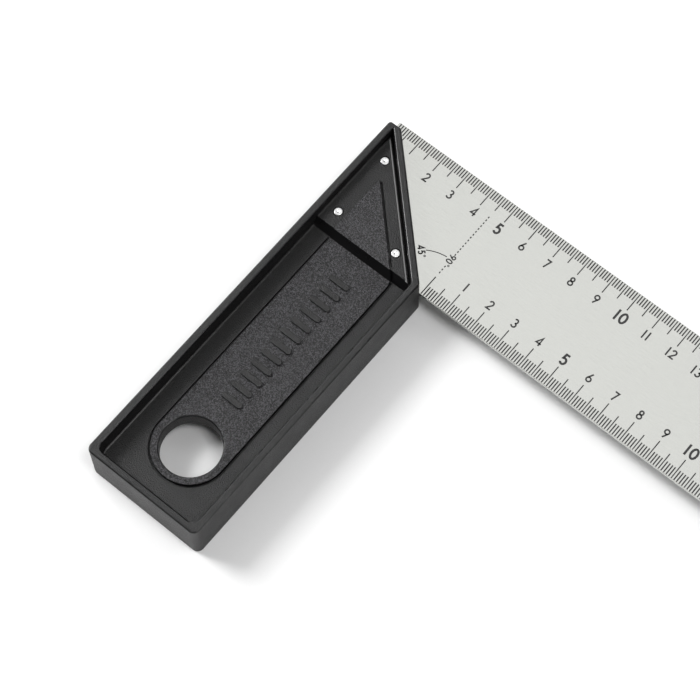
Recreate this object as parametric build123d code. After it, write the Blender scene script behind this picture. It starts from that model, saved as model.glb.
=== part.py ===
from build123d import *
import os
from math import sqrt

# A carpenter's try square: a moulded stock, a steel blade and the three rivets that join them.
#
# Millimetres. The origin is the inside corner of the square, where the stock's fence face and the
# blade's inner edge meet, on the blade's mid-plane. +X runs along the blade, away from the stock.
# +Y points at the blade's outer edge. +Z is up. Both faces of the tool are alike, so each feature
# of the stock is made once for the upper face and mirrored for the lower one.

# Blade
BLADE_LENGTH = 250.0        # from the stock's outer face, where the outer scale starts
BLADE_WIDTH = 45.0
BLADE_THICKNESS = 1.0
BLADE_CORNER_RADIUS = 0.4
BLADE_EDGE_BREAK = 0.12
SLOT_CLEARANCE = 0.02       # between the blade's faces and the slot it lies in

# Stock outline
STOCK_WIDTH = 45.0          # fence face to outer face
STOCK_LENGTH = 110.0        # inside corner to free end
STOCK_THICKNESS = 18.0
TIP_Y = 39.8                # the pointed end is cut off square here
MITRE_DROP = 0.5            # the 45 degree face meets the fence face this far below the corner
END_CORNER_RADIUS = 2.4
INSIDE_CORNER_RADIUS = 2.0
TIP_CORNER_RADIUS = 1.0
RIM_EDGE_RADIUS = 0.65

# Recess in each face, with its levels as depths below the rim
RIM_WIDTH = 2.65            # at the outer face and the free end
FENCE_RIM_WIDTH = 2.5
MITRE_RIM_WIDTH = 2.65
FLOOR_DEPTH = 6.5
PLATFORM_DEPTH = 3.3
RECESS_END_RADIUS = 2.6
RECESS_INSIDE_RADIUS = 2.0
RECESS_FOOT_RADIUS = 0.8

# Platform over the blade's tongue
GROOVE_WIDTH = 0.9          # between the platform and the mitre rim
GROOVE_DEPTH = 1.3
STEP_TOP_Y = -1.2           # where the step down to the floor starts
STEP_RUN = 2.1              # how far the sloping step runs out at its foot
PLATFORM_EDGE_RADIUS = 0.7

# Textured grip skin, one outline that lies on the floor and on the platform, with a moat beside it
SKIN_HEIGHT = 0.7
SKIN_HALF_WIDTH = 12.85
SKIN_TO_CORNER_LINE = 9.1   # from the 45 degree line through the inside corner
SKIN_STEP_LEAD = 0.45       # the skin's step stands this far in front of the platform's
SKIN_CORNER_RADIUS = 5.0
SKIN_POINT_RADIUS = 0.15
SKIN_EDGE_RADIUS = 0.2
MOAT_WIDTH = 0.75
MOAT_DEPTH = 0.9

# Hanging hole
HOLE_RADIUS = 10.2
HOLE_TO_FENCE = 22.0
HOLE_TO_END = 22.8
HOLE_EDGE_RADIUS = 0.6

# Raised grip bars along the skin
BAR_COUNT = 12
BAR_PITCH = 4.8
BAR_LENGTH = 8.0
BAR_WIDTH = 2.2
BAR_HEIGHT = 0.6
BAR_LAST_Y = -14.5
BAR_EDGE_RADIUS = 0.2

# Ejector pin mark on the floor
EJECTOR_RADIUS = 3.0
EJECTOR_DEPTH = 0.12
EJECTOR_TO_FENCE = 8.3
EJECTOR_TO_END = 9.4

# Rivets
RIVET_TO_OUTER = 7.15       # from the outer face
RIVET_TO_CORNER_LINE = 6.75 # from the 45 degree line through the inside corner
RIVET_SPACING = 24.0
RIVET_RADIUS = 1.42
RIVET_EDGE_RADIUS = 0.18
RIVET_PROUD = 0.1           # above the platform
RIVET_DIMPLE_RADIUS = 0.55
RIVET_DIMPLE_DEPTH = 0.2
RIVET_SEAT_RADIUS = 1.78    # clearance around each rivet end
RIVET_SEAT_DEPTH = 0.7

# Worked out from the sizes above
TOLERANCE = 1e-4
DIAGONAL = sqrt(2.0)
RIM_Z = STOCK_THICKNESS / 2
FLOOR_Z = RIM_Z - FLOOR_DEPTH
PLATFORM_Z = RIM_Z - PLATFORM_DEPTH
SKIN_LOW_Z = FLOOR_Z + SKIN_HEIGHT
SKIN_HIGH_Z = PLATFORM_Z + SKIN_HEIGHT
ROOT_Z = 0.8                # raised features start inside the web, at this height
GROOVE_Z = PLATFORM_Z - GROOVE_DEPTH
CLEAR_Z = RIM_Z + 2.0
STEP_FOOT_Y = STEP_TOP_Y - STEP_RUN
HOLE_X = -HOLE_TO_FENCE
HOLE_Y = -STOCK_LENGTH + HOLE_TO_END
RIVET_Z = PLATFORM_Z + RIVET_PROUD
RIVET_X = -STOCK_WIDTH + RIVET_TO_OUTER
RIVET_Y = -RIVET_TO_CORNER_LINE * DIAGONAL - RIVET_X
RIVETS = {
    "rivet_tip": (RIVET_X, RIVET_Y),
    "rivet_outer": (RIVET_X, RIVET_Y - RIVET_SPACING),
    "rivet_inner": (RIVET_X + RIVET_SPACING, RIVET_Y - RIVET_SPACING),
}


def mitre_sum(inset):
    """x + y along the line that lies this far inside the 45 degree face."""
    return -MITRE_DROP - inset * DIAGONAL


def rounded_face(corners):
    """A face from (x, y, radius) corners; a radius of 0 leaves its corner sharp."""
    face = make_face(Polyline(*[(x, y) for x, y, _ in corners], close=True))
    for x, y, radius in corners:
        if radius > 0:
            face = fillet(face.vertices().sort_by_distance((x, y, 0))[0], radius)
    return face


def prism(face, bottom, top):
    """The face drawn on z = 0, as a solid from bottom to top."""
    return extrude(Pos(0, 0, bottom) * face, top - bottom)


def column(x, y, radius, bottom, top):
    """An upright cylinder from bottom to top."""
    return prism(Pos(x, y) * Circle(radius), bottom, top)


def edges_at(solid, height):
    """The solid's edges that lie in the plane z = height."""
    return solid.edges().filter_by_position(Axis.Z, height - TOLERANCE, height + TOLERANCE)


def along_x(profile):
    """A profile of (y, z) points, drawn out along X over the stock's whole width."""
    face = make_face(Polyline(*[(-STOCK_WIDTH, y, z) for y, z in profile], close=True))
    return extrude(face, STOCK_WIDTH, dir=(1, 0, 0))


def behind_step(foot_y, foot_z, top_z):
    """All that lies behind a sloping step which faces -Y and rises from foot_z to top_z."""
    return along_x([
        (foot_y, ROOT_Z),
        (foot_y, foot_z),
        (foot_y + STEP_RUN, top_z),
        (foot_y + STEP_RUN, CLEAR_Z),
        (TIP_Y, CLEAR_Z),
        (TIP_Y, ROOT_Z),
    ])


def stock_outline():
    """The stock seen from above."""
    return rounded_face([
        (-STOCK_WIDTH, -STOCK_LENGTH, END_CORNER_RADIUS),
        (0, -STOCK_LENGTH, END_CORNER_RADIUS),
        (0, -MITRE_DROP, INSIDE_CORNER_RADIUS),
        (mitre_sum(0) - TIP_Y, TIP_Y, TIP_CORNER_RADIUS),
        (-STOCK_WIDTH, TIP_Y, TIP_CORNER_RADIUS),
    ])


def recess_outline():
    """The recess inside the rim, with a sharp corner at the stock's pointed end."""
    left = -STOCK_WIDTH + RIM_WIDTH
    right = -FENCE_RIM_WIDTH
    low = -STOCK_LENGTH + RIM_WIDTH
    line = mitre_sum(MITRE_RIM_WIDTH)
    return rounded_face([
        (left, low, RECESS_END_RADIUS),
        (right, low, RECESS_END_RADIUS),
        (right, line - right, RECESS_INSIDE_RADIUS),
        (left, line - left, 0),
    ])


def recess_cut(bottom):
    """The recess down to a level, with a rounded foot along its walls."""
    cut = prism(recess_outline(), bottom, CLEAR_Z)
    return fillet(edges_at(cut, bottom), RECESS_FOOT_RADIUS)


def platform():
    """The raised triangle over the blade's tongue, with a groove between it and the mitre rim."""
    back = -STOCK_WIDTH + RIM_WIDTH / 2
    line = mitre_sum(MITRE_RIM_WIDTH + GROOVE_WIDTH)
    corners = [(back, STEP_FOOT_Y), (line - STEP_FOOT_Y, STEP_FOOT_Y), (back, line - back)]
    outline = make_face(Polyline(*corners, close=True))
    block = prism(outline, ROOT_Z, PLATFORM_Z)
    groove_edges = [
        edge for edge in edges_at(block, PLATFORM_Z)
        if edge.center().X + edge.center().Y > line - TOLERANCE
    ]
    block = fillet(groove_edges, PLATFORM_EDGE_RADIUS)
    foot = prism(outline, PLATFORM_Z, RIM_Z - RIM_EDGE_RADIUS) - recess_cut(PLATFORM_Z)
    bed = prism(stock_outline(), ROOT_Z, RIM_Z - RIM_EDGE_RADIUS) - recess_cut(GROOVE_Z)
    return (block + foot + bed) & behind_step(STEP_FOOT_Y, FLOOR_Z, PLATFORM_Z)


def skin_outline(grown=0.0):
    """The grip skin: round about the hanging hole, and pointed at the other end."""
    half_width = SKIN_HALF_WIDTH + grown
    left = HOLE_X - half_width
    right = HOLE_X + half_width
    line = (grown - SKIN_TO_CORNER_LINE) * DIAGONAL
    point = (left, line - left)
    corner = (right, line - right)
    sides = Polyline((left, HOLE_Y), point, corner, (right, HOLE_Y))
    end = ThreePointArc((right, HOLE_Y), (HOLE_X, HOLE_Y - half_width), (left, HOLE_Y))
    face = make_face(sides + end)
    face = fillet(face.vertices().sort_by_distance((*point, 0))[0], SKIN_POINT_RADIUS + grown)
    return fillet(face.vertices().sort_by_distance((*corner, 0))[0], SKIN_CORNER_RADIUS + grown)


def low_part(solid):
    """What lies between the stock's free end and the foot of the skin's step."""
    front = STEP_FOOT_Y - SKIN_STEP_LEAD
    return solid & along_x([
        (-STOCK_LENGTH, ROOT_Z),
        (-STOCK_LENGTH, CLEAR_Z),
        (front, CLEAR_Z),
        (front, ROOT_Z),
    ])


def moat():
    """The narrow groove around the grip skin; on the platform it follows the mitre side only."""
    low = prism(skin_outline(MOAT_WIDTH), FLOOR_Z - MOAT_DEPTH, CLEAR_Z)
    shifted = Pos(MOAT_WIDTH * DIAGONAL, 0) * skin_outline()
    high = prism(shifted, PLATFORM_Z - MOAT_DEPTH, CLEAR_Z)
    return [low_part(low), high & behind_step(STEP_FOOT_Y + MOAT_DEPTH, FLOOR_Z, PLATFORM_Z)]


def low_skin():
    """The grip skin on the floor, from the hanging hole's end to the foot of the step."""
    block = prism(skin_outline(), ROOT_Z, SKIN_LOW_Z)
    block = fillet(edges_at(block, SKIN_LOW_Z), SKIN_EDGE_RADIUS)
    return low_part(block)


def high_skin():
    """The grip skin on the platform."""
    block = prism(skin_outline(), ROOT_Z, SKIN_HIGH_Z)
    block = fillet(edges_at(block, SKIN_HIGH_Z), SKIN_EDGE_RADIUS)
    return block & behind_step(STEP_FOOT_Y - SKIN_STEP_LEAD, SKIN_LOW_Z, SKIN_HIGH_Z)


def grip_bars():
    """A row of raised bars that lie across the skin."""
    bars = []
    for index in range(BAR_COUNT):
        outline = Pos(HOLE_X, BAR_LAST_Y - index * BAR_PITCH) * SlotOverall(BAR_LENGTH, BAR_WIDTH)
        bar = prism(outline, ROOT_Z, SKIN_LOW_Z + BAR_HEIGHT)
        bars.append(fillet(edges_at(bar, SKIN_LOW_Z + BAR_HEIGHT), BAR_EDGE_RADIUS))
    return bars


def ejector_mark():
    """The shallow disc that an ejector pin leaves in the floor, by the end's corner at the fence."""
    y = EJECTOR_TO_END - STOCK_LENGTH
    return column(-EJECTOR_TO_FENCE, y, EJECTOR_RADIUS, FLOOR_Z - EJECTOR_DEPTH, CLEAR_Z)


def rivet(x, y):
    """A plain steel pin with rounded ends and a punch mark in each."""
    pin = column(x, y, RIVET_RADIUS, -RIVET_Z, RIVET_Z)
    pin = fillet(edges_at(pin, RIVET_Z) + edges_at(pin, -RIVET_Z), RIVET_EDGE_RADIUS)
    punch = Pos(x, y, RIVET_Z) * Cone(0, 2 * RIVET_DIMPLE_RADIUS, 2 * RIVET_DIMPLE_DEPTH)
    return pin - punch - mirror(punch, about=Plane.XY)


def blade_outline():
    """The blade seen from above, with its tongue flush with the stock's outer face."""
    outline = Pos(-STOCK_WIDTH, 0) * Rectangle(BLADE_LENGTH, BLADE_WIDTH, align=(Align.MIN, Align.MIN))
    return fillet(outline.vertices(), BLADE_CORNER_RADIUS)


def blade():
    """The flat steel blade with its edges broken and the rivet holes through its tongue."""
    half = BLADE_THICKNESS / 2
    strip = prism(blade_outline(), -half, half)
    strip = chamfer(edges_at(strip, half) + edges_at(strip, -half), BLADE_EDGE_BREAK)
    for x, y in RIVETS.values():
        strip -= column(x, y, RIVET_RADIUS, -half, half)
    return strip


def slot():
    """The slot that the blade's tongue lies in."""
    half = BLADE_THICKNESS / 2 + SLOT_CLEARANCE
    return prism(blade_outline(), -half, half)


def hole_edges(solid):
    """The hanging hole's rim on the skin."""
    rings = edges_at(solid, SKIN_LOW_Z).filter_by(GeomType.CIRCLE)
    return [ring for ring in rings if abs(ring.radius - HOLE_RADIUS) < TOLERANCE]


def rim():
    """The stock's upper half with its recess and rounded rim, before anything stands in it."""
    block = prism(stock_outline(), 0, RIM_Z)
    block = fillet(edges_at(block, RIM_Z), RIM_EDGE_RADIUS)
    block -= recess_cut(FLOOR_Z)
    top = block.faces().sort_by(Axis.Z)[-1]
    return fillet(top.inner_wires()[0].edges(), RIM_EDGE_RADIUS)


def stock():
    """The moulded stock: an upper half with all its features, joined to its mirror image."""
    half = rim() + platform() - moat()
    half += [low_skin(), high_skin(), *grip_bars()]
    half -= ejector_mark()
    half -= column(HOLE_X, HOLE_Y, HOLE_RADIUS, 0, CLEAR_Z)
    for x, y in RIVETS.values():
        half -= column(x, y, RIVET_RADIUS, 0, CLEAR_Z)
        half -= column(x, y, RIVET_SEAT_RADIUS, PLATFORM_Z - RIVET_SEAT_DEPTH, CLEAR_Z)
    half = fillet(hole_edges(half), HOLE_EDGE_RADIUS)
    return half + mirror(half, about=Plane.XY) - slot()


if __name__ == "__main__":
    os.makedirs("parts", exist_ok=True)
    parts = {"stock": stock(), "blade": blade()}
    for name, place in RIVETS.items():
        parts[name] = rivet(*place)
    for name, solid in parts.items():
        export_step(solid, f"parts/{name}.step")
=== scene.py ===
import math

import bmesh
import bpy
from mathutils import Matrix, Vector


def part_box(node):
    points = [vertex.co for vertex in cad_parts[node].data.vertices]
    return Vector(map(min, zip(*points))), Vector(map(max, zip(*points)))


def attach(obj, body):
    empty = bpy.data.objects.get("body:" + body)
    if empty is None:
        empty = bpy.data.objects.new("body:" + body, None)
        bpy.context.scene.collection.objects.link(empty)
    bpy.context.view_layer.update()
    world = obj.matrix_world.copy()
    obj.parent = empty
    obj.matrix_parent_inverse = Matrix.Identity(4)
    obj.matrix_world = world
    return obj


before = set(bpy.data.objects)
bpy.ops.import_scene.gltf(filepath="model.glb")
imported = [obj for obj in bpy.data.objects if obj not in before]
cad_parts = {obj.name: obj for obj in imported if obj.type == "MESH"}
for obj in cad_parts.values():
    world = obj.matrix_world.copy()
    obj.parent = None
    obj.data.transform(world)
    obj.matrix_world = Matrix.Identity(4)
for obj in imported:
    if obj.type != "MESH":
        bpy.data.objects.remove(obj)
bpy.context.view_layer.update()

# A carpenter's try square. Metres, in the CAD model's frame: the origin is the inside corner on the
# blade's mid-plane, +X runs along the blade, +Y to the blade's outer edge and +Z up.

MM = 0.001
stock_low, stock_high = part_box("stock")
blade_low, blade_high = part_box("blade")

# Heights of the grained grip skins above and below the mid-plane
LOW_SKIN = 3.2 * MM
HIGH_SKIN = 6.4 * MM
SKIN_BAND = 0.15 * MM

# The painted highlight on the platform's edge beside the mitre rim: the edge's x + y, its height, and
# half the size of the highlight there
PLATFORM_EDGE_SUM = -6.15 * MM
PLATFORM_EDGE_BAND = 0.45 * MM
PLATFORM_EDGE_HEIGHT = 5.55 * MM
PLATFORM_HEIGHT_BAND = 0.16 * MM

# Scales: ticks are (every so many mm, length in mm), longest first
PRINT_THICKNESS = 0.02 * MM
TICK_START = 0.25 * MM
OUTER_TICKS = ((10, 7.5), (5, 6.1), (1, 3.6))
INNER_TICKS = ((10, 8.0), (5, 6.5), (1, 4.0))
LONG_TICK_WIDTH = 0.38 * MM
SHORT_TICK_WIDTH = 0.45 * MM

# Numbers: each row's height above the blade's inner edge in mm, and each size's height and weight
OUTER_NUMBER_ROW = 32.7
INNER_NUMBER_ROW = 9.5
NUMBER_HEIGHT = 3.4 * MM
NUMBER_WEIGHT = 0.55 * MM
FIFTH_NUMBER_HEIGHT = 4.2 * MM
FIFTH_NUMBER_WEIGHT = 0.78 * MM
NUMBER_END_MARGIN = 3 * MM

# The dashed square line at x = 0, in mm, which leaves a gap for its label
DASHES_FROM, DASHES_TO = 9.7, 35.4
DASH_LENGTH = 0.7
DASH_PITCH = 1.35
LABEL_GAP_FROM, LABEL_GAP_TO = 13.3, 17.6
DASH_WIDTH = 0.42 * MM

# The arc about the inside corner, with its radius in mm and its ends in degrees
ARC_RADIUS = 15.95
ARC_FROM, ARC_TO = 122.3, 96.1
ARC_WIDTH = 0.32 * MM

# The angle labels: text, weight, x, y and turn in degrees
LABEL_HEIGHT = 2.4 * MM
SQUARE_LABEL = ("90°", 0.46 * MM, -1.3 * MM, 15.4 * MM, -90)
MITRE_LABEL = ("45°", 0.5 * MM, -10.2 * MM, 11.4 * MM, -45)

# Floor and softboxes
FLOOR_REACH = 3.0
SOFTBOX_DISTANCE = 2.0
SOFTBOX_SIZE = 0.76


# ---------------------------------------------------------------- materials

class Nodes:
    """A material under construction: a few short calls for the nodes that repeat."""

    def __init__(self, name):
        self.material = bpy.data.materials.new(name)
        self.material.use_nodes = True
        self.tree = self.material.node_tree
        self.shader = self.tree.nodes["Principled BSDF"]
        self.coords = self.tree.nodes.new("ShaderNodeTexCoord").outputs["Object"]

    def set(self, **values):
        """Constant values on the shader's own sockets; an underscore stands for a space."""
        for name, value in values.items():
            self.shader.inputs[name.replace("_", " ")].default_value = value

    def link(self, value, socket):
        """A number or a colour goes in as it is, and an output is linked."""
        if isinstance(value, bpy.types.NodeSocket):
            self.tree.links.new(value, socket)
        else:
            socket.default_value = value

    def math(self, operation, *values):
        """A sum, product or other operation on one or two values."""
        node = self.tree.nodes.new("ShaderNodeMath")
        node.operation = operation
        for value, socket in zip(values, node.inputs):
            self.link(value, socket)
        return node.outputs[0]

    def stretched(self, scale):
        """Object coordinates, stretched by a factor for each axis."""
        node = self.tree.nodes.new("ShaderNodeMapping")
        node.inputs["Scale"].default_value = scale
        self.link(self.coords, node.inputs["Vector"])
        return node.outputs["Vector"]

    def noise(self, size, detail=2.0, roughness=0.5, stretch=(1, 1, 1)):
        """Noise whose features are about this many metres across, from 0 to 1."""
        node = self.tree.nodes.new("ShaderNodeTexNoise")
        node.inputs["Scale"].default_value = 1.0 / size
        node.inputs["Detail"].default_value = detail
        node.inputs["Roughness"].default_value = roughness
        self.link(self.stretched(stretch), node.inputs["Vector"])
        return node.outputs["Fac"]

    def swing(self, size, **options):
        """Noise that swings about 0, so that a mask can fade it without leaving a step."""
        return self.math("SUBTRACT", self.noise(size, **options), 0.5)

    def ramp(self, value, low, high, out_low, out_high):
        """The value's range low to high, mapped to another range and held at its ends."""
        node = self.tree.nodes.new("ShaderNodeMapRange")
        for number, socket in zip((value, low, high, out_low, out_high), node.inputs):
            self.link(number, socket)
        return node.outputs["Result"]

    def mix(self, factor, first, second):
        """Two colours mixed by a factor."""
        node = self.tree.nodes.new("ShaderNodeMix")
        node.data_type = "RGBA"
        self.link(factor, node.inputs["Factor"])
        self.link(first, node.inputs[6])
        self.link(second, node.inputs[7])
        return node.outputs[2]

    def bump(self, height, distance, below=None):
        """A bump whose full height is this many metres, laid over another one if it is given."""
        node = self.tree.nodes.new("ShaderNodeBump")
        node.inputs["Distance"].default_value = distance
        self.link(height, node.inputs["Height"])
        if below is not None:
            self.link(below, node.inputs["Normal"])
        return node.outputs["Normal"]

    def place(self):
        """The x, y and z of the surface point, in metres."""
        node = self.tree.nodes.new("ShaderNodeSeparateXYZ")
        self.link(self.coords, node.inputs[0])
        return node.outputs

    def facing(self):
        """The x, y and z of the surface's normal."""
        node = self.tree.nodes.new("ShaderNodeSeparateXYZ")
        self.link(self.coords.node.outputs["Normal"], node.inputs[0])
        return node.outputs

    def band(self, value, middle, half_width):
        """1 where the value is close to the middle and 0 elsewhere."""
        away = self.math("ABSOLUTE", self.math("SUBTRACT", value, middle))
        return self.math("LESS_THAN", away, half_width)


def grey(value, tint=(1.0, 1.0, 1.0)):
    """A colour of this lightness, with a slight tint."""
    return (value * tint[0], value * tint[1], value * tint[2], 1.0)


BLACK_TINT = (1.0, 0.97, 1.08)
STEEL_TINT = (0.99, 1.0, 0.955)


def stock_plastic():
    """Black glass-filled plastic: satin, with a leathery grain and painted glints on the grip skins,
    edges polished by use, and a painted highlight along the platform's edge beside the mitre.
    """
    nodes = Nodes("stock_plastic")
    place = nodes.place()
    height = nodes.math("ABSOLUTE", place["Z"])
    upright = nodes.math("ABSOLUTE", nodes.facing()["Z"])
    at_skin = nodes.math(
        "ADD", nodes.band(height, LOW_SKIN, SKIN_BAND), nodes.band(height, HIGH_SKIN, SKIN_BAND)
    )
    skins = nodes.math("MULTIPLY", nodes.ramp(upright, 0.9, 0.98, 0.0, 1.0), at_skin)
    grain = nodes.math("MULTIPLY", skins, nodes.swing(0.7 * MM, roughness=0.6))
    waves = nodes.noise(6.0 * MM, detail=2.0)
    cloud = nodes.noise(22.0 * MM, detail=3.0)

    # Edges are polished by use, and the platform's edge beside the mitre gets a painted highlight, a
    # pale band in its colour
    slanted = nodes.math(
        "MULTIPLY", nodes.ramp(upright, 0.1, 0.25, 0.0, 1.0), nodes.ramp(upright, 0.99, 0.95, 0.0, 1.0)
    )
    mitre_sum = nodes.math("ADD", place["X"], place["Y"])
    along_edge = nodes.band(mitre_sum, PLATFORM_EDGE_SUM, PLATFORM_EDGE_BAND)
    at_top = nodes.band(height, PLATFORM_EDGE_HEIGHT, PLATFORM_HEIGHT_BAND)
    painted_highlight = nodes.math("MULTIPLY", slanted, nodes.math("MULTIPLY", along_edge, at_top))

    # Black, with pale flecks in the skins' grain: painted glints where light catches the grain
    black = nodes.mix(cloud, grey(0.001, BLACK_TINT), grey(0.003, BLACK_TINT))
    painted_glints = nodes.math("MULTIPLY", skins, nodes.ramp(nodes.noise(0.42 * MM), 0.46, 0.6, 0.0, 1.0))
    black_with_glints = nodes.mix(painted_glints, black, grey(0.052, BLACK_TINT))
    # The pale grey band is a painted highlight along the platform's edge beside the mitre
    nodes.link(nodes.mix(painted_highlight, black_with_glints, grey(0.32)), nodes.shader.inputs["Base Color"])

    # Satin, with a grain on the skins and a finer one everywhere but on the edges
    matt = nodes.ramp(waves, 0.3, 0.7, 0.46, 0.52)
    polish = nodes.math("MULTIPLY", slanted, 0.2)
    nodes.link(nodes.math("SUBTRACT", matt, polish), nodes.shader.inputs["Roughness"])
    nodes.set(IOR=1.5)
    fine = nodes.math("MULTIPLY", nodes.swing(0.35 * MM), nodes.math("SUBTRACT", 1.0, slanted))
    texture = nodes.bump(fine, 0.25 * MM)
    nodes.link(nodes.bump(grain, 0.35 * MM, texture), nodes.shader.inputs["Normal"])
    return nodes.material


def blade_steel():
    """Satin stainless steel with a very fine grain along the blade."""
    nodes = Nodes("blade_steel")
    grain = nodes.noise(0.25 * MM, detail=3.0, stretch=(0.05, 1, 1))
    cloud = nodes.noise(30.0 * MM, detail=3.0)
    nodes.set(Metallic=1.0)
    steel = nodes.mix(cloud, grey(0.64, STEEL_TINT), grey(0.66, STEEL_TINT))
    nodes.link(steel, nodes.shader.inputs["Base Color"])
    nodes.link(nodes.ramp(grain, 0.3, 0.7, 0.18, 0.25), nodes.shader.inputs["Roughness"])
    nodes.link(nodes.bump(grain, 0.002 * MM), nodes.shader.inputs["Normal"])
    return nodes.material


def rivet_steel():
    """Bright steel, faced flat."""
    nodes = Nodes("rivet_steel")
    grain = nodes.noise(0.2 * MM, detail=2.0)
    nodes.set(Metallic=1.0)
    nodes.link(nodes.mix(grain, grey(0.80), grey(0.90)), nodes.shader.inputs["Base Color"])
    nodes.link(nodes.ramp(grain, 0.3, 0.7, 0.25, 0.4), nodes.shader.inputs["Roughness"])
    nodes.link(nodes.bump(grain, 0.005 * MM), nodes.shader.inputs["Normal"])
    return nodes.material


def print_ink():
    """Black printing ink, slightly uneven."""
    nodes = Nodes("print_ink")
    wear = nodes.noise(0.5 * MM, detail=3.0)
    nodes.link(nodes.mix(wear, grey(0.012), grey(0.03)), nodes.shader.inputs["Base Color"])
    nodes.link(nodes.ramp(wear, 0.3, 0.7, 0.45, 0.6), nodes.shader.inputs["Roughness"])
    nodes.link(nodes.bump(wear, 0.004 * MM), nodes.shader.inputs["Normal"])
    return nodes.material


# ---------------------------------------------------------------- printing on the blade

def arc(x, y, rx, ry, start, end, steps=14):
    """Points along an ellipse's arc, from one angle to another in degrees."""
    turns = [math.radians(start + (end - start) * i / steps) for i in range(steps + 1)]
    return [(x + rx * math.cos(t), y + ry * math.sin(t)) for t in turns]


# Digits in a plain geometric style, as strokes in a box 1 high; each is (width, [strokes])
DIGITS = {
    "0": (0.62, [arc(0.31, 0.5, 0.24, 0.43, 0, 360, 28)]),
    "1": (0.30, [[(0.15, 0.0), (0.15, 1.0)]]),
    "2": (0.60, [arc(0.29, 0.70, 0.21, 0.23, 170, -38) + [(0.07, 0.07), (0.55, 0.07)]]),
    "3": (0.58, [
        arc(0.27, 0.71, 0.19, 0.22, 150, -90),
        arc(0.27, 0.28, 0.23, 0.22, 90, -160),
    ]),
    "4": (0.64, [[(0.44, 0.0), (0.44, 0.93), (0.06, 0.27), (0.60, 0.27)]]),
    "5": (0.58, [[(0.50, 0.93), (0.18, 0.93), (0.13, 0.56)] + arc(0.27, 0.33, 0.22, 0.26, 110, -150)]),
    "6": (0.60, [arc(0.30, 0.30, 0.23, 0.23, 0, 360, 24), [(0.42, 1.0), (0.11, 0.43)]]),
    "7": (0.56, [[(0.05, 0.93), (0.50, 0.93), (0.18, 0.0)]]),
    "8": (0.60, [arc(0.30, 0.73, 0.18, 0.20, 0, 360, 24), arc(0.30, 0.28, 0.23, 0.22, 0, 360, 24)]),
    "9": (0.60, [arc(0.30, 0.70, 0.23, 0.23, 0, 360, 24), [(0.49, 0.57), (0.18, 0.0)]]),
    "°": (0.34, [arc(0.17, 0.84, 0.12, 0.12, 0, 360, 12)]),
}


def add_ribbon(mesh, points, width, place):
    """A flat stroke along the points, mitred at its bends, put in its place by a matrix."""
    points = [Vector((x, y, 0)) for x, y in points]
    closed = (points[0] - points[-1]).length < 1e-6
    if closed:
        points = points[:-1]
    count = len(points)
    sides = []
    for i, point in enumerate(points):
        before = points[i - 1] if i or closed else None
        after = points[(i + 1) % count] if i < count - 1 or closed else None
        runs = [(b - a).normalized() for a, b in ((before, point), (point, after)) if a and b]
        along = sum(runs, Vector()).normalized()
        side = Vector((-along.y, along.x, 0))
        stretch = 1.0 / max(0.35, along.dot(runs[0]))
        offset = side * width / 2 * stretch
        sides.append([mesh.verts.new(place @ (point + s * offset)) for s in (1, -1)])
    pairs = list(zip(sides, sides[1:])) + ([(sides[-1], sides[0])] if closed else [])
    for (a, b), (c, d) in pairs:
        mesh.faces.new((a, b, d, c))


def add_text(mesh, text, height, weight, place, gap=0.14):
    """Digits in a row, centred on the place's origin and standing on its x axis."""
    widths = [DIGITS[letter][0] for letter in text]
    start = -(sum(widths) + gap * (len(text) - 1)) / 2
    for letter, width in zip(text, widths):
        for stroke in DIGITS[letter][1]:
            points = [((start + x) * height, y * height) for x, y in stroke]
            add_ribbon(mesh, points, weight * (0.5 if letter == "°" else 1.0), place)
        start += width + gap


def placed(x, y, facing, angle=0.0):
    """A place on the blade, turned by an angle in degrees; facing is 1 for print read from above."""
    turn = Matrix.Rotation(math.radians(angle), 4, "Z")
    return Matrix.Translation((x, y, 0)) @ turn @ Matrix.Diagonal((facing, 1, 1, 1))


def tick_length(mark, ticks):
    """The length of the tick at this many mm, from the first rule that divides it."""
    return next(length for every, length in ticks if mark % every == 0) * MM


def tick_width(mark):
    """Every fifth tick is longer and a little finer."""
    return SHORT_TICK_WIDTH if mark % 5 else LONG_TICK_WIDTH


def outer_scale(mesh, facing):
    """Ticks down from the blade's outer edge, counted from the stock's outer face."""
    edge = blade_high.y - TICK_START
    for mark in range(1, int((blade_high.x - blade_low.x) / MM)):
        x = blade_low.x + mark * MM
        bottom = blade_high.y - tick_length(mark, OUTER_TICKS)
        add_ribbon(mesh, [(x, bottom), (x, edge)], tick_width(mark), Matrix.Identity(4))


def inner_scale(mesh, facing):
    """Ticks up from the blade's inner edge, counted from the stock's fence face."""
    edge = blade_low.y + TICK_START
    for mark in range(0, int((blade_high.x - stock_high.x) / MM)):
        x = stock_high.x + mark * MM
        top = blade_low.y + tick_length(mark, INNER_TICKS)
        add_ribbon(mesh, [(x, edge), (x, top)], tick_width(mark), Matrix.Identity(4))


def numbers(mesh, facing):
    """Centimetre numbers beside both scales; every fifth one is larger."""
    rows = ((blade_low.x, OUTER_NUMBER_ROW, 2), (stock_high.x, INNER_NUMBER_ROW, 1))
    for start, row, first in rows:
        for mark in range(first, int((blade_high.x - start) / MM / 10) + 1):
            fifth = mark % 5 == 0
            height = FIFTH_NUMBER_HEIGHT if fifth else NUMBER_HEIGHT
            weight = FIFTH_NUMBER_WEIGHT if fifth else NUMBER_WEIGHT
            x = start + mark * 10 * MM
            if x > blade_high.x - NUMBER_END_MARGIN:
                continue
            y = row * MM - (height - NUMBER_HEIGHT) / 2
            add_text(mesh, str(mark), height, weight, placed(x, y, facing))


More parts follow.
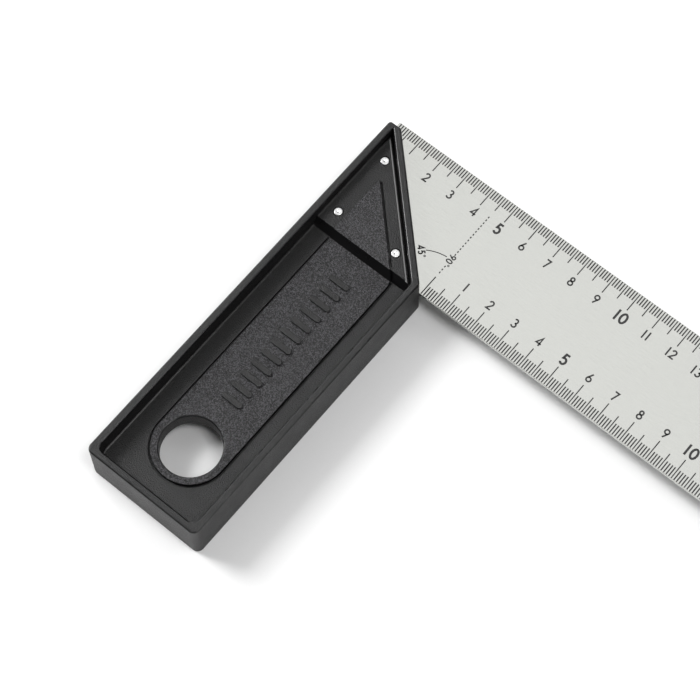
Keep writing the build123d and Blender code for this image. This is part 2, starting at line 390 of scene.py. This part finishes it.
def angle_marks(mesh, facing):
    """The dashed square line, and the arc with its two labels."""
    flat = Matrix.Identity(4)
    dash = DASHES_FROM
    while dash < DASHES_TO:
        if not LABEL_GAP_FROM < dash < LABEL_GAP_TO:
            ends = [(0, dash * MM), (0, (dash + DASH_LENGTH) * MM)]
            add_ribbon(mesh, ends, DASH_WIDTH, flat)
        dash += DASH_PITCH
    sweep = arc(0, 0, ARC_RADIUS, ARC_RADIUS, ARC_FROM, ARC_TO, 20)
    add_ribbon(mesh, [(x * MM, y * MM) for x, y in sweep], ARC_WIDTH, flat)
    for text, weight, x, y, angle in (SQUARE_LABEL, MITRE_LABEL):
        add_text(mesh, text, LABEL_HEIGHT, weight, placed(x, y, facing, angle))


def blade_printing(name, build, ink):
    """A print of ink with a real thickness, as one piece for each face of the blade."""
    for facing, label in ((1, "upper"), (-1, "lower")):
        mesh = bmesh.new()
        build(mesh, facing)
        raised = bmesh.ops.extrude_face_region(mesh, geom=mesh.faces[:])["geom"]
        tops = [item for item in raised if isinstance(item, bmesh.types.BMVert)]
        bmesh.ops.translate(mesh, verts=tops, vec=(0, 0, PRINT_THICKNESS))
        bmesh.ops.translate(mesh, verts=mesh.verts, vec=(0, 0, blade_high.z))
        bmesh.ops.transform(mesh, verts=mesh.verts, matrix=Matrix.Diagonal((1, 1, facing, 1)))
        bmesh.ops.recalc_face_normals(mesh, faces=mesh.faces)
        data = bpy.data.meshes.new(f"{name}_{label}")
        mesh.to_mesh(data)
        mesh.free()
        piece = bpy.data.objects.new(f"{name}_{label}", data)
        bpy.context.scene.collection.objects.link(piece)
        data.materials.append(ink)
        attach(piece, "root")


# ---------------------------------------------------------------- stage

def floor_sheet():
    """A pale floor under the tool."""
    mesh = bpy.data.meshes.new("floor")
    reach = FLOOR_REACH
    z = stock_low.z
    corners = [(-reach, -reach, z), (reach, -reach, z), (reach, reach, z), (-reach, reach, z)]
    mesh.from_pydata(corners, [], [(0, 1, 2, 3)])
    floor = bpy.data.objects.new("floor", mesh)
    bpy.context.scene.collection.objects.link(floor)
    nodes = Nodes("floor_paper")
    fibre = nodes.noise(1.5 * MM, detail=3.0)
    nodes.link(nodes.mix(fibre, grey(0.86), grey(0.88)), nodes.shader.inputs["Base Color"])
    nodes.set(Roughness=0.9)
    mesh.materials.append(nodes.material)


def softbox(name, azimuth, elevation, power, size=SOFTBOX_SIZE):
    """A round softbox that faces the tool; the power is in watts."""
    lamp = bpy.data.lights.new(name, "AREA")
    lamp.shape = "DISK"
    lamp.size = size
    lamp.energy = power
    light = bpy.data.objects.new(name, lamp)
    bpy.context.scene.collection.objects.link(light)
    back = direction(azimuth, elevation)
    light.location = back * SOFTBOX_DISTANCE
    light.rotation_mode = "QUATERNION"
    light.rotation_quaternion = back.to_track_quat("Z", "Y")


def direction(azimuth, elevation):
    """A unit vector towards a viewer; azimuth 0 looks along +Y and 90 along -X."""
    a, e = math.radians(azimuth), math.radians(elevation)
    return Vector((math.sin(a) * math.cos(e), -math.cos(a) * math.cos(e), math.sin(e)))


def surround(strength):
    """An even pale surround."""
    world = bpy.data.worlds.new("surround")
    bpy.context.scene.world = world
    world.use_nodes = True
    shade = world.node_tree.nodes["Background"]
    shade.inputs["Color"].default_value = (1.0, 1.0, 1.0, 1.0)
    shade.inputs["Strength"].default_value = strength


def camera():
    """A long lens that looks down on the stock, with the blade running out to the right."""
    target = Vector((-5.216, -29.328, 0.0)) * MM
    distance = 731.67 * MM
    back = direction(41.286, 66.544)
    roll = -1.881
    data = bpy.data.cameras.new("camera")
    data.sensor_width = 36.0
    data.lens = 117.69
    data.clip_start, data.clip_end = 0.05, 10.0
    view = bpy.data.objects.new("camera", data)
    bpy.context.scene.collection.objects.link(view)
    view.location = target + back * distance
    view.rotation_mode = "QUATERNION"
    turn = back.to_track_quat("Z", "Y").to_matrix() @ Matrix.Rotation(math.radians(roll), 3, "Z")
    view.rotation_quaternion = turn.to_quaternion()
    bpy.context.scene.camera = view


# ---------------------------------------------------------------- assembly

def finish_nodes():
    """Gives each CAD node its material."""
    made = {"stock": stock_plastic(), "blade": blade_steel()}
    rivet = rivet_steel()
    for name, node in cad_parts.items():
        node.data.materials.clear()
        node.data.materials.append(made.get(name, rivet))


finish_nodes()
ink = print_ink()
prints = {
    "outer_scale": outer_scale,
    "inner_scale": inner_scale,
    "numbers": numbers,
    "angle_marks": angle_marks,
}
for name, build in prints.items():
    blade_printing(name, build, ink)

floor_sheet()
softbox("key", -77, 42, 31)
softbox("key_high", -75, 56, 4)
softbox("key_low", -108, 31, 6)
softbox("fill", 90, 70, 14)
softbox("fill_low", 90, 28, 7)
softbox("back_low", 225, 12, 10)
softbox("back_right", 140, 38, 5)
softbox("overhead", 207, 67, 3.8, size=1.2)
softbox("front", 10, 24, 3.5, size=1.5)
softbox("front_low", 48, 17, 2, size=1.1)
surround(0.045)
camera()
bpy.context.scene.view_settings.view_transform = "Standard"
